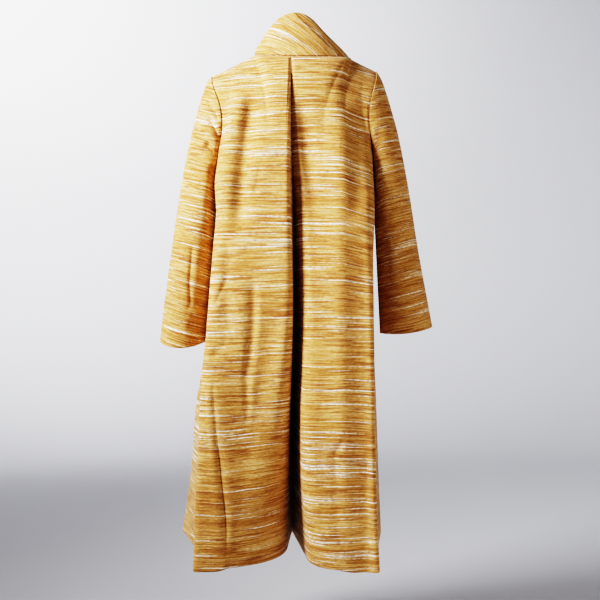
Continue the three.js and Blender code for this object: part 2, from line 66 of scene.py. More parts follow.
def smooth(t):
    """An S curve from 0 to 1: three t squared less two t cubed."""
    t = np.clip(t, 0.0, 1.0)
    return t * t * (3.0 - 2.0 * t)


def bump(distance, width):
    """A bell curve: 1 at distance 0, falling off over the width."""
    return np.exp(-((distance / width) ** 2))


def stack(x, y, z):
    """Points of a grid from its three coordinates."""
    return np.stack(np.broadcast_arrays(x, y, z), axis=-1)


def unit(v):
    return v / np.maximum(np.linalg.norm(v, axis=-1, keepdims=True), 1e-9)


def follow(rows, key, column, at):
    """Smooth curve through a table: a cubic Hermite between rows, whose slopes are the chords
    between the rows on either side."""
    k, v = rows[key], rows[column]
    if k[-1] < k[0]:
        k, v = k[::-1], v[::-1]
    before = np.maximum(np.arange(len(k)) - 1, 0)
    after = np.minimum(np.arange(len(k)) + 1, len(k) - 1)
    slope = (v[after] - v[before]) / (k[after] - k[before])
    at = np.asarray(at, float)
    i = np.clip(np.searchsorted(k, at, side="right") - 1, 0, len(k) - 2)
    span = k[i + 1] - k[i]
    t = np.clip((at - k[i]) / span, 0, 1)
    return (
        (2 * t**3 - 3 * t**2 + 1) * v[i]
        + (t**3 - 2 * t**2 + t) * span * slope[i]
        + (3 * t**2 - 2 * t**3) * v[i + 1]
        + (t**3 - t**2) * span * slope[i + 1]
    )


def hermite(p, v, q, w, t):
    """Cubic Hermite curve from p, leaving along v, to q, arriving along w."""
    t = t[..., None]
    return (
        (2 * t**3 - 3 * t**2 + 1) * p
        + (t**3 - 2 * t**2 + t) * v
        + (3 * t**2 - 2 * t**3) * q
        + (t**3 - t**2) * w
    )


def grid_normals(points, sign=1.0, closed=False):
    """Unit normals of a grid: the cross product of its steps across and down."""
    if closed:
        across = np.roll(points, -1, axis=1) - np.roll(points, 1, axis=1)
    else:
        across = np.gradient(points, axis=1)
    return sign * unit(np.cross(across, np.gradient(points, axis=0)))


def run_along(points, axis):
    """Length run over a grid from its first column (axis 1) or its first row (axis 0)."""
    steps = np.linalg.norm(np.diff(points, axis=axis), axis=-1)
    return np.insert(np.cumsum(steps, axis=axis), 0, 0.0, axis=axis)


def line_distance(x, z, corners):
    """Distance of each place (x, z) to a line through the corners, and the share of the line's
    length at the nearest place on it."""
    corners = np.array(corners, float)
    lengths = np.hypot(*np.diff(corners, axis=0).T)
    starts = np.concatenate([[0.0], np.cumsum(lengths)])
    best, share = np.full(x.shape, 1e9), np.zeros(x.shape)
    for (ax, az), (bx, bz), length, start in zip(corners[:-1], corners[1:], lengths, starts):
        t = np.clip(((x - ax) * (bx - ax) + (z - az) * (bz - az)) / length**2, 0, 1)
        gap = np.hypot(x - lerp(ax, bx, t), z - lerp(az, bz, t))
        near = gap < best
        best = np.where(near, gap, best)
        share = np.where(near, (start + t * length) / starts[-1], share)
    return best, share


# ------------------------------------------------------------------ the coat's measurements

SEAM_GAP = 0.3
HEM_Z = -1158.0
UNDERARM_Z = -235.0
SHOULDER_Y = 5.0
FRONT_LAP = 45.0
FRONT_CENTRE_X = 5.0
LAP_LIFT = 2.6

# Horizontal sections below the armholes.
SECTIONS = table(
    "z backLeftX backLeftY backRightX backRightY sideLeftX sideRightX"
    " frontLeftX frontRightX frontY roundLeft roundRight roundFront",
    (-235, -172, -122, 188, -122, -172, 190, -170, 182, 116, 108, 108, 95),
    (-345, -176, -128, 195, -130, -174, 188, -186, 190, 128, 62, 75, 90),
    (-450, -183, -138, 194, -142, -180, 187, -200, 196, 138, 42, 55, 85),
    (-565, -190, -150, 193, -156, -188, 188, -214, 202, 150, 30, 45, 80),
    (-680, -197, -162, 192, -170, -197, 192, -228, 208, 162, 24, 38, 72),
    (-820, -204, -176, 191, -186, -219, 197, -256, 215, 175, 20, 32, 64),
    (-1000, -211, -193, 192, -204, -229, 201, -271, 222, 188, 16, 28, 52),
    (-1158, -216, -205, 196, -219, -235, 205, -295, 230, 200, 13, 26, 42),
)

# The centre back fold: where each panel turns in, and the deepest line.
FOLD = table(
    "z lipLeftX lipLeftY lipRightX lipRightY deepX deepY roundLeft roundRight",
    (0, -3.4, -70, -2.6, -70, -3, -60, 5, 5),
    (-235, -8, -126, 11, -104, -2, -84, 9, 12),
    (-345, -6, -135, 17, -114, 2, -64, 13, 24),
    (-565, 0, -153, 27, -144, 4, -22, 22, 30),
    (-700, -2, -161, 27, -162, 2, 8, 38, 32),
    (-850, -8, -165, 23, -182, -2, 42, 62, 34),
    (-1000, -13, -168, 27, -194, -3, 76, 92, 42),
    (-1158, -19, -170, 42, -206, -3, 112, 124, 58),
)
HEM_RISE, RISE_FROM = 12.0, 11.0
ROUND_MOST = 0.96  # most of a straight stretch that a rounded corner may take

OUT = {"left": -1.0, "right": 1.0}
SHOULDERS = {
    "left": dict(tip=(-194.0, -29.0), under=-172.0, steps=6),
    "right": dict(tip=(199.0, -17.0), under=190.0, steps=4),
}
ARMHOLE_PINCH, ARMHOLE_BACK, ARMHOLE_FRONT = 16.0, 62.0, 58.0
ARMHOLE_FULLNESS, ARMHOLE_LENS, ARMHOLE_TRIM = 0.8, 0.6, 0.27
STEEP = {"back": math.radians(50), "front": math.radians(42)}
NECK = dict(x=24.0, half=116.0, back=72.0, front=80.0, left=20.0, right=12.0, drop=60.0)
RIM = dict(x=7.0, half=76.0, y=5.0, depth=55.0, side=52.0, rise=58.0, drop=60.0)
COLLAR_BULGE, COLLAR_SEAT, COLLAR_POINT = 7.0, 1.6, 1.5
CENTRE_BACK_X, FLANGE_DROP = -3.0, 4.0

# Columns of a half section: fold, lip, back, corner and side stretches, and the front's.
FOLD_STEPS, LIP_STEPS, BACK_STEPS, CORNER_STEPS, SIDE_STEPS = 5, 3, 5, 4, 2
FRONT_STEPS, LAP_STEPS = 7, 4
SLOPE_STEP, SHOULDER_REACH, CHEST_REACH = 12.0, 0.6, 1.4

# Long soft troughs: panel, top and end in the back view, width and depth.
TROUGHS = (
    ("back_left", -92, -70, -128, -440, 20, 13),
    ("back_left", -90, -500, -92, -760, 15, 5),
    ("back_left", -166, -850, -138, -1158, 10, 6),
    ("back_right", 150, -90, 148, -400, 22, 11),
    ("back_right", 96, -860, 88, -1158, 16, 5),
    ("front_left", -120, -330, -150, -1158, 20, 9),
    ("front_right", 118, -300, 140, -1158, 20, 9),
)
TROUGH_FADE = 0.25
CREASE_START, CREASE_END = 0.22, 0.3  # shares of a crease's length over which it fades

# Creases listed one by one: the piece, its line in the back view, width and depth, less than 0 for
# a ridge.
CREASES = (
    ("back_left", ((-113, -62), (-124, -130), (-142, -200), (-155, -290), (-160, -380)), 22, -17.0),
    ("back_left", ((-70, -235), (-78, -290), (-88, -345)), 8, 2.0),
    ("back_left", ((-146, -400), (-148, -500), (-145, -600), (-138, -690)), 14, 4.5),
    ("back_left", ((-142, -505), (-160, -545), (-178, -585)), 6, 2.6),
    ("back_left", ((-140, -648), (-162, -676), (-186, -700)), 8, 3.6),
    ("back_left", ((-128, -636), (-152, -662), (-174, -684)), 9, -2.0),
    (
        "back_left",
        ((-87, -500), (-87, -610), (-94, -670), (-103, -735), (-100, -800), (-104, -880)), 8, 4.2,
    ),
    ("back_left", ((-72, -520), (-74, -620), (-82, -690), (-88, -760), (-86, -850)), 9, -2.0),
    (
        "back_left",
        (
            (-175, -722), (-175, -768), (-170, -825), (-166, -890), (-160, -940), (-149, -1022),
            (-138, -1140),
        ),
        4, 3.6,
    ),
    ("back_left", ((-186, -740), (-184, -830), (-178, -900), (-168, -980)), 7, -2.4),
    ("back_left", ((-40, -880), (-52, -1000), (-60, -1158)), 18, 3.0),
    ("back_right", ((152, -300), (160, -470), (163, -800), (160, -1158)), 36, 15.0),
    ("back_right", ((8, -70), (12, -200), (18, -500), (24, -760)), 34, 12.0),
    ("back_right", ((106, -90), (108, -300), (108, -600), (110, -1100)), 22, -5.0),
    ("back_left", ((-30, -560), (-26, -760), (-30, -1158)), 55, 12.0),
    ("back_left", ((-172, -640), (-160, -860), (-150, -1158)), 34, -9.0),
    ("back_right", ((116, -868), (102, -890), (88, -912)), 6, 3.0),
    ("back_right", ((44, -780), (60, -960), (66, -1158)), 16, 3.5),
    ("back_right", ((168, -880), (160, -1020), (163, -1158)), 12, 3.0),
    ("back_right", ((60, -70), (70, -150), (74, -260)), 16, 2.0),
    ("front_left", ((-40, -120), (-70, -200), (-92, -300)), 10, 3.0),
    ("front_left", ((-70, -520), (-84, -700), (-92, -960)), 14, 4.5),
    ("front_left", ((-200, -760), (-214, -930), (-226, -1158)), 14, 6.0),
    ("front_left", ((-168, -560), (-186, -610), (-206, -640)), 8, 3.0),
    ("front_right", ((58, -110), (84, -190), (100, -290)), 10, 3.0),
    ("front_right", ((64, -470), (82, -640), (86, -900)), 14, 4.0),
    ("front_right", ((180, -820), (186, -980), (196, -1158)), 12, 5.0),
    ("front_right", ((30, -860), (36, -1000), (30, -1158)), 16, 3.5),
)

SLEEVES = {
    "left": dict(
        cuff=(-265.0, 30.0, -671.0), half=55.0, depth=75.0, tilt=0.0, droop=7.0,
        swell=table("t out", (0, 0), (0.03, 8), (0.12, 16), (0.33, 22), (0.6, 16), (0.8, 9), (1, 0)),
    ),
    "right": dict(
        cuff=(274.0, 30.0, -640.0), half=61.0, depth=75.0, tilt=8.0, droop=3.0,
        swell=table("t out", (0, 0), (0.04, 8), (0.13, 14), (0.25, 18), (0.45, 15), (0.7, 6), (1, 0)),
    ),
}
SLEEVE_CROWD, UNDERARM_EASE = 1.2, 3.0
HALF_BLEND = 0.35  # how sharply a sleeve's crease ends where the cloth turns to the other half
CAP_FREE, CUFF_FREE = 22.0, 0.02  # plain cloth kept at the cap in mm, at the cuff as a share

# Sleeve creases: the sleeve, its line in the back view, width, depth, and 1 on the back half
# or -1 on the front half.
SLEEVE_CREASES = (
    ("left", ((-206, -92), (-186, -122), (-166, -150)), 6, 7.0, 1),
    ("left", ((-200, -132), (-182, -165), (-166, -195)), 6, 7.5, 1),
    ("left", ((-218, -160), (-192, -182), (-166, -206)), 9, -7.0, 1),
    ("left", ((-208, -196), (-188, -214), (-172, -226)), 11, 9.0, 1),
    ("left", ((-186, -236), (-188, -300), (-196, -380)), 10, 6.0, 1),
    ("left", ((-234, -425), (-237, -470), (-242, -525), (-240, -574), (-254, -606)), 5, 4.4, 1),
    ("left", ((-224, -440), (-226, -500), (-228, -560)), 8, -2.6, 1),
    ("left", ((-194, -560), (-206, -572), (-218, -584)), 6, 3.4, 1),
    ("left", ((-252, -622), (-226, -630), (-200, -640)), 9, 4.4, 1),
    ("left", ((-216, -596), (-236, -600)), 10, -3.0, 1),
    ("left", ((-214, -120), (-196, -170), (-178, -214)), 9, 4.5, -1),
    ("left", ((-220, -330), (-238, -400), (-236, -480)), 9, 3.6, -1),
    ("left", ((-262, -560), (-236, -590), (-222, -610)), 8, 3.6, -1),
    ("right", ((312, -541), (290, -574), (265, -612)), 9, 3.4, 1),
    ("right", ((206, -150), (196, -210), (204, -300)), 10, 3.5, 1),
    ("right", ((252, -330), (262, -430), (270, -500)), 13, 2.6, 1),
    ("right", ((212, -400), (222, -470), (226, -540)), 9, 3.0, 1),
    ("right", ((232, -130), (208, -176), (192, -216)), 9, 4.5, -1),
    ("right", ((236, -330), (252, -400), (248, -480)), 9, 3.6, -1),
    ("right", ((300, -520), (270, -556), (250, -586)), 8, 3.6, -1),
)

# The collar's layers: their ends in degrees round the neck and their rows and columns. The outer
# one's upper edge falls with the angle, and the inner one lies further in where it laps itself.
WRAP = dict(
    start=-165.0, end=47.0, back=0.92, fall=0.0195, most=0.985, least=0.06, grid=(40, 260)
)
INNER = dict(start=-198.0, end=198.0, lowest=-0.035, lap=-140.0, over=20.0, grid=(40, 320))

# Seams: reach of the dip beside one, and how much of it the sleeve's own edge shows.
SEAM_REACH, SLEEVE_SEAM_SHARE = 5.0, 0.4
# The lap of the fronts: where its lift starts past the lapped edge, and how soon it ends.
LAP_START, LAP_TAPER = 40.0, 35.0
# The topstitching: the y it stays behind, its top and its foot, the gap as a share of a stitch.
STITCH_BEHIND, STITCH_TOP, STITCH_FOOT = -66.0, -3.0, -100.0
STITCH_GAP, STITCH_WIDTH, STITCH_PROUD = 0.35, 0.9, 0.25
STITCH_RINGS, STITCH_SIDES, STITCH_FLAT = 6, 8, 1 / 2.6
FAR = 1e3

# The weft's slope: a dip towards the right armhole, a rise near the fold and across the arm.
DIP = dict(upper=0.22, all=0.05, start=112.0, blend=30.0, low=-640.0, high=260.0)
RISE = dict(slope=0.05, start=-150.0, reach=160.0, top=-300.0, fade=300.0)
ARM_WEFT = dict(slope=0.30, start=175.0, blend=40.0, least=0.2)
COLLAR_WEFT = dict(slope=0.42, turn=0.0022, start=-100.0, reach=220.0)
# Where each piece starts on the bolt, in metres, so that no two match.
BOLT = {
    "back_left": 0.0, "back_right": 1.37, "front_left": 3.11, "front_right": 4.48,
    "sleeve_left": 5.3, "sleeve_right": 7.9, "collar_wrap": 9.7, "collar_inner": 12.1,
}


# ------------------------------------------------------------------ surfaces of the body


def rounded_path(index, corners, rounds, steps):
    """A line through corners, each inner one rounded by a quadratic curve. The place at an index
    is the start plus what each straight or curved stretch adds up to that index."""
    reach = []
    for before, corner, after, length in zip(corners[:-2], corners[1:-1], corners[2:], rounds):
        ends = []
        for other in (before, after):
            dx, dy = other[0] - corner[0], other[1] - corner[1]
            share = np.minimum(length / np.hypot(dx, dy), ROUND_MOST)
            ends.append((corner[0] + dx * share, corner[1] + dy * share))
        reach.append(ends)
    place = [np.broadcast_to(c, np.broadcast(c, index).shape).astype(float) for c in corners[0]]
    at, here = 0.0, corners[0]
    for n, (corner, ends) in enumerate(zip(corners[1:-1], reach)):
        t = np.clip((index - at) / steps[2 * n], 0, 1)
        place = [p + (e - h) * t for p, e, h in zip(place, ends[0], here)]
        at += steps[2 * n]
        t = np.clip((index - at) / steps[2 * n + 1], 0, 1)
        for k in (0, 1):
            curve = (1 - t) ** 2 * ends[0][k] + 2 * t * (1 - t) * corner[k] + t**2 * ends[1][k]
            place[k] = place[k] + curve - ends[0][k]
        at += steps[2 * n + 1]
        here = ends[1]
    t = np.clip((index - at) / steps[-1], 0, 1)
    return [p + (c - h) * t for p, c, h in zip(place, corners[-1], here)]


def section(side, face, z, index):
    """Half section at height z. The index runs from the centre to the side seam."""
    out = OUT[side]
    name = side.capitalize()
    body = lambda column: follow(SECTIONS, "z", column, z)
    if face == "back":
        fold = lambda column: follow(FOLD, "z", column, z)
        corners = [
            (fold("deepX") + out * SEAM_GAP / 2, fold("deepY")),
            (fold(f"lip{name}X"), fold(f"lip{name}Y")),
            (body(f"back{name}X"), body(f"back{name}Y")),
            (body(f"side{name}X"), np.full_like(z, SHOULDER_Y - SEAM_GAP / 2)),
        ]
        rounds = [fold(f"round{name}"), body(f"round{name}")]
        return rounded_path(
            index, corners, rounds, (FOLD_STEPS, LIP_STEPS, BACK_STEPS, CORNER_STEPS, SIDE_STEPS)
        )
    corners = [
        (np.full_like(z, FRONT_CENTRE_X - out * FRONT_LAP), body("frontY")),
        (body(f"front{name}X"), body("frontY")),
        (body(f"side{name}X"), np.full_like(z, SHOULDER_Y + SEAM_GAP / 2)),
    ]
    steps = (FRONT_STEPS, CORNER_STEPS, SIDE_STEPS)
    return rounded_path(index, corners, [body("roundFront")], steps)


def neck_point(angle):
    """The neck seam: an ellipse, longer to the wearer's right, that rises at the sides and drops
    at the front. The angle is 0 at the back and 90 degrees on the right."""
    c, s = np.cos(angle), np.sin(angle)
    back = c > 0
    return stack(
        NECK["x"] + NECK["half"] * s,
        SHOULDER_Y * s**2 - np.where(back, NECK["back"], NECK["front"]) * c,
        np.where(s < 0, NECK["left"], NECK["right"]) * s**2 - np.where(back, 0, NECK["drop"] * c**2),
    )


def armhole_point(side, angle):
    """The armhole seam: a lens seen from the side, whose x runs in at mid height. The angle is 0
    at the shoulder tip and 180 degrees at the underarm, positive through the back."""
    arm = SHOULDERS[side]
    wide = np.abs(np.sin(angle))
    depth = np.where(np.sin(angle) > 0, ARMHOLE_BACK, -ARMHOLE_FRONT) * wide**ARMHOLE_FULLNESS
    turned = np.arccos(np.clip(np.cos(angle), -1, 1)) / np.pi
    down = lerp((1 - np.cos(angle)) / 2, turned, ARMHOLE_LENS)
    return stack(
        lerp(arm["tip"][0], arm["under"], down) - OUT[side] * ARMHOLE_PINCH * wide**3,
        SHOULDER_Y - depth,
        lerp(arm["tip"][1], UNDERARM_Z, down),
    )


def top_edge(side, face, index, count):
    """Top edge of a panel and the way the cloth leaves it: along the neck seam, steeply at the
    centre, then along the straight shoulder seam, level."""
    out, turn = OUT[side], -1.0 if face == "back" else 1.0
    arm = SHOULDERS[side]
    neck_steps = count - arm["steps"]
    if face == "back":
        start = math.asin((CENTRE_BACK_X + out * FOLD["roundLeft"][0] - NECK["x"]) / NECK["half"])
    else:
        edge_x = FRONT_CENTRE_X - out * FRONT_LAP
        start = out * (math.pi + math.asin(-out * (edge_x - NECK["x"]) / NECK["half"]))
    t = np.clip(index / neck_steps, 0, 1)
    angle = lerp(start, out * math.pi / 2, t)
    steep = STEEP[face] * np.cos(angle) ** 2
    neck = neck_point(angle) + stack(0, turn * SEAM_GAP / 2 * t, 0)
    away = stack(0 * t, turn * np.cos(steep), -np.sin(steep))
    s = np.clip((index - neck_steps) / arm["steps"], 0, 1)
    end = neck_point(np.array(out * math.pi / 2))
    shoulder = stack(
        lerp(end[0], arm["tip"][0], s), SHOULDER_Y + turn * SEAM_GAP / 2, lerp(end[2], arm["tip"][1], s)
    )
    on_neck = (index < neck_steps)[:, None]
    return np.where(on_neck, neck, shoulder), np.where(on_neck, away, [0.0, turn, 0.0])


def fold_top(side, index, neck_end):
    """Top edge of the fold: a short flange at the centre back seam, just under the neck seam."""
    out, name = OUT[side], side.capitalize()
    first = {column: values[0] for column, values in FOLD.items()}
    corners = [
        (first["deepX"] + out * SEAM_GAP / 2, first["deepY"]),
        (first[f"lip{name}X"], first[f"lip{name}Y"]),
        (neck_end[0], neck_end[1]),
    ]
    x, y = rounded_path(index, corners, [first["roundLeft"]], (FOLD_STEPS, LIP_STEPS, 1))
    z = -FLANGE_DROP * (1 - index / (FOLD_STEPS + LIP_STEPS))
    return stack(x, y, z)


def trough_depth(panel, x, z):
    """Depth of the long troughs: a bell across each line, fading in and out along it."""
    depth = np.zeros(x.shape)
    for name, top_x, top_z, end_x, end_z, width, deep in TROUGHS:
        if name != panel:
            continue
        dx, dz = end_x - top_x, end_z - top_z
        length = math.hypot(dx, dz)
        along = ((x - top_x) * dx + (z - top_z) * dz) / length**2
        aside = ((x - top_x) * dz - (z - top_z) * dx) / length
        fade_out = 1.0 if end_z <= HEM_Z else smooth((1 - along) / TROUGH_FADE)
        depth += deep * smooth(along / TROUGH_FADE) * fade_out * bump(aside, width)
    return depth


def crease_depth(creases, x, z):
    """Depth of the fine creases: a narrow bell across each line, deepest in its middle."""
    depth = np.zeros(x.shape)
    for line, width, deep in creases:
        gap, share = line_distance(x, z, line)
        to_hem = line[-1][1] <= HEM_Z
        fade = smooth(share / CREASE_START)
        if not to_hem:
            fade = fade * smooth((1 - share) / CREASE_END)
        depth += deep * fade * bump(gap, width)
    return depth


def panel_surface(side, face, across=9, yoke_rows=84, skirt_rows=196):
    """A back or front panel. Above the underarm each column is a Hermite curve from the top edge
    to the section below, drawn in to the armhole by the share of its place along the section.
    Below it the grid follows the sections. Rows run down, columns from the centre outwards."""
    back = face == "back"
    turn = -1.0 if back else 1.0
    fold_columns = FOLD_STEPS + LIP_STEPS if back else 0
    steady = fold_columns if back else LAP_STEPS
    count = fold_columns + (BACK_STEPS if back else FRONT_STEPS) + CORNER_STEPS + SIDE_STEPS
    index = np.linspace(0, count, count * across + 1)
    under = stack(*section(side, face, np.array([UNDERARM_Z]), index), UNDERARM_Z)
    lower = stack(*section(side, face, np.array([UNDERARM_Z - SLOPE_STEP]), index), UNDERARM_Z)
    tail = index >= steady

    def shares(points):
        steps = np.hypot(*np.diff(points[tail][:, :2], axis=0).T)
        run = np.concatenate([[0.0], np.cumsum(steps)])
        return run / run[-1]

    under_share, lower_share = shares(under), shares(lower)
    share = np.zeros(len(index))
    share[tail] = under_share
    if back:
        in_fold = index < fold_columns
        top, away = top_edge(side, face, index[~in_fold] - fold_columns, count - fold_columns)
        flange = fold_top(side, index[in_fold], top[0])
        leave = np.array([0.0, -math.cos(STEEP["back"]), -math.sin(STEEP["back"])])
        top = np.concatenate([flange, top])
        away = np.concatenate([np.broadcast_to(leave, flange.shape), away])
    else:
        top, away = top_edge(side, face, index, count)

    t = (np.arange(yoke_rows) / yoke_rows)[:, None]
    moved = share[None, :] * (1 - ARMHOLE_TRIM * np.sin(np.pi * t))
    foot, step = [], []
    for k in (0, 1):
        foot.append(np.where(tail, np.interp(moved, under_share, under[tail][:, k]), under[:, k]))
        step.append(np.where(tail, np.interp(moved, lower_share, lower[tail][:, k]), lower[:, k]))
    end = stack(foot[0], foot[1], UNDERARM_Z)
    slope = stack((step[0] - foot[0]) / SLOPE_STEP, (step[1] - foot[1]) / SLOPE_STEP, -1.0)
    reach = SHOULDER_REACH * np.linalg.norm(end - top, axis=-1, keepdims=True)
    drop = CHEST_REACH * (top[:, 2:] - UNDERARM_Z)
    yoke = hermite(top, away * reach, end, slope * drop, np.broadcast_to(t, moved.shape))
    hole = armhole_point(side, -turn * np.pi * t[:, 0]) + np.array([0, turn * SEAM_GAP / 2, 0])
    pull = hole - yoke[:, -1]
    yoke = yoke + pull[:, None, :] * share[None, :, None]

    z = np.linspace(UNDERARM_Z, HEM_Z, skirt_rows + 1)[:, None]
    down = np.linspace(0, 1, skirt_rows + 1)[:, None]
    rise = HEM_RISE * down * smooth((RISE_FROM - index) / (RISE_FROM - FOLD_STEPS)) * back
    skirt = stack(*section(side, face, z, index), z + rise)
    points = np.concatenate([yoke, skirt])
    inside = smooth((index - fold_columns) / 2) * smooth((count - index) / 2)
    points[..., 1] -= turn * trough_depth(f"{face}_{side}", points[..., 0], points[..., 2]) * inside
    return points, index, count, fold_columns


def finish_panel(side, face, sizes):
    """A panel with its fine creases, its lap and the slight dip of the cloth at each seam."""
    points, index, count, fold_columns = panel_surface(side, face)
    sign = 1.0 if (face == "back") == (side == "left") else -1.0
    normals = grid_normals(points, sign)
    x, z = points[..., 0], points[..., 2]
    mine = [row[1:] for row in CREASES if row[0] == f"{face}_{side}"]
    inside = smooth((index - fold_columns + 1) / 2) * smooth((count - index) / 1.5)
    depth = crease_depth(mine, x, z) * inside * sizes.crease_strength
    if face == "front":
        out = OUT[side]
        lap_start = FRONT_CENTRE_X + out * (FRONT_LAP + LAP_START)
        depth = depth - out * LAP_LIFT * smooth(out * (lap_start - x) / LAP_TAPER)
    run = run_along(points, 1)
    from_side = run[:, -1:] - run
    from_top = np.where(index >= fold_columns, run_along(points, 0), np.inf)
    depth = depth + sizes.seam_dip / MM * bump(np.minimum(from_side, from_top), SEAM_REACH)
    return points - normals * depth[..., None], sign


# ------------------------------------------------------------------ sleeves and collar


def sleeve_surface(side, sizes, rings=190, around=132):
    """A sleeve: straight lines from the armhole to the cuff, swelled on the outer side, with its
    creases. Rows run down, columns round the arm from the seam under it through the front. It is
    the inner face of the cloth, so its sign turns the faces in and the wall grows outwards."""
    out, cuff = OUT[side], SLEEVES[side]
    t = ((np.arange(rings + 1) / rings) ** SLEEVE_CROWD)[:, None]
    angle = np.linspace(np.pi, 3 * np.pi, around + 1)[None, :]
    c, s = np.cos(angle), np.sin(angle)
    gap = lerp(SEAM_GAP, UNDERARM_EASE * SEAM_GAP, (1 - c) / 2)
    start = armhole_point(side, angle) + stack(out * gap, 0, 0)
    end = stack(
        cuff["cuff"][0] + out * cuff["half"] * c,
        cuff["cuff"][1] - cuff["depth"] * s,
        cuff["cuff"][2] + cuff["tilt"] * c + cuff["droop"] * np.cos(2 * angle),
    )
    points = lerp(start, end, t[..., None])
    points[..., 0] += out * follow(cuff["swell"], "t", "out", t) * (1 + c) / 2
    sign = 1.0 if side == "left" else -1.0
    outward = -grid_normals(points[:, :-1], sign, closed=True)
    outward = np.concatenate([outward, outward[:, :1]], axis=1)
    x, z = points[..., 0], points[..., 2]
    depth = np.zeros(x.shape)
    for name, line, width, deep, half in SLEEVE_CREASES:
        if name == side:
            facing = smooth(-half * outward[..., 1] / HALF_BLEND)
            depth += crease_depth([(line, width, deep)], x, z) * facing
    from_top = np.linalg.norm(points - points[:1], axis=-1)
    free = smooth(from_top / CAP_FREE) * smooth((1 - t) / CUFF_FREE)
    depth = depth * free * sizes.crease_strength
    depth = depth + sizes.seam_dip / MM * bump(from_top, SEAM_REACH) * SLEEVE_SEAM_SHARE
    points = points - outward * depth[..., None]
    points[:, -1] = points[:, 0]
    return points, sign


def collar_point(angle, height):
    """The collar: a cone from the neck seam, height 0, to the rim, height 1, slightly swelled."""
    c, s = np.cos(angle), np.sin(angle)
    base = neck_point(angle) + np.array([0, 0, COLLAR_SEAT])
    lift = np.abs(c) ** COLLAR_POINT
    rim = stack(
        RIM["x"] + RIM["half"] * s,
        RIM["y"] - RIM["depth"] * c,
        RIM["side"] + np.where(c > 0, RIM["rise"], -RIM["drop"]) * lift,
    )
    swell = COLLAR_BULGE * np.sin(np.pi * height)
    return lerp(base, rim, height[..., None]) + stack(swell * s, -swell * c, 0)


def collar_surface(start, end, top, bottom, rows, columns):
    """A band of the collar between two angles, from its upper edge down to its lower edge."""
    degrees = np.linspace(start, end, columns + 1)[None, :]
    high = top(degrees)
    height = lerp(high, np.full_like(high, bottom), np.linspace(0, 1, rows + 1)[:, None])
    return collar_point(np.radians(np.broadcast_to(degrees, height.shape)), height), degrees


def wrap_top(degrees):
    """Height of the outer layer's upper edge: level on the left, falling evenly to the right."""
    return np.clip(WRAP["back"] - WRAP["fall"] * degrees, WRAP["least"], WRAP["most"])


# ------------------------------------------------------------------ meshes


def make_mesh(name, points, sign, uv, cloth, thickness, closed=False):
    """A sheet from a grid of points in millimetres: quads turned by the sign, a UV map in metres
    along the cloth, and a wall that grows against the faces."""
    rows, columns = points.shape[:2]
    kept = points[:, :-1] if closed else points
    width = kept.shape[1]
    i, j = np.meshgrid(np.arange(rows - 1), np.arange(columns - 1), indexing="ij")
    corners = ((i, j), (i, j + 1), (i + 1, j + 1), (i + 1, j))
    if sign < 0:
        corners = corners[::-1]
    faces = np.stack([a * width + b % width for a, b in corners], axis=-1).reshape(-1, 4)
    loops = np.stack([uv[a, b] for a, b in corners], axis=2).reshape(-1, 2)
    mesh = bpy.data.meshes.new(name)
    mesh.vertices.add(len(kept.reshape(-1, 3)))
    mesh.vertices.foreach_set("co", (kept * MM).astype(np.float32).ravel())
    mesh.loops.add(faces.size)
    mesh.loops.foreach_set("vertex_index", faces.astype(np.int32).ravel())
    mesh.polygons.add(len(faces))
    mesh.polygons.foreach_set("loop_start", np.arange(0, faces.size, 4, dtype=np.int32))
    mesh.polygons.foreach_set("loop_total", np.full(len(faces), 4, dtype=np.int32))
    mesh.uv_layers.new(name="cloth").data.foreach_set("uv", loops.astype(np.float32).ravel())
    mesh.update(calc_edges=True)
    mesh.validate()
    mesh.polygons.foreach_set("use_smooth", np.ones(len(faces), dtype=bool))
    mesh.materials.append(cloth)
    piece = bpy.data.objects.new(name, mesh)
    bpy.context.scene.collection.objects.link(piece)
    wall = piece.modifiers.new("cloth wall", "SOLIDIFY")
    wall.thickness = thickness
    wall.offset = -1.0
    wall.use_even_offset = True
    return piece


def declare(piece, node, flat, area, rests_on):
    """Rides and replaces one piece of cloth."""
    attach(piece, "root")
    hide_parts(node)


def cloth_area(points):
    """Area of a grid in square metres, from the cross products of its steps."""
    a = points[1:, :-1] - points[:-1, :-1]
    b = points[:-1, 1:] - points[:-1, :-1]
    return np.linalg.norm(np.cross(a, b), axis=-1).sum() * MM * MM


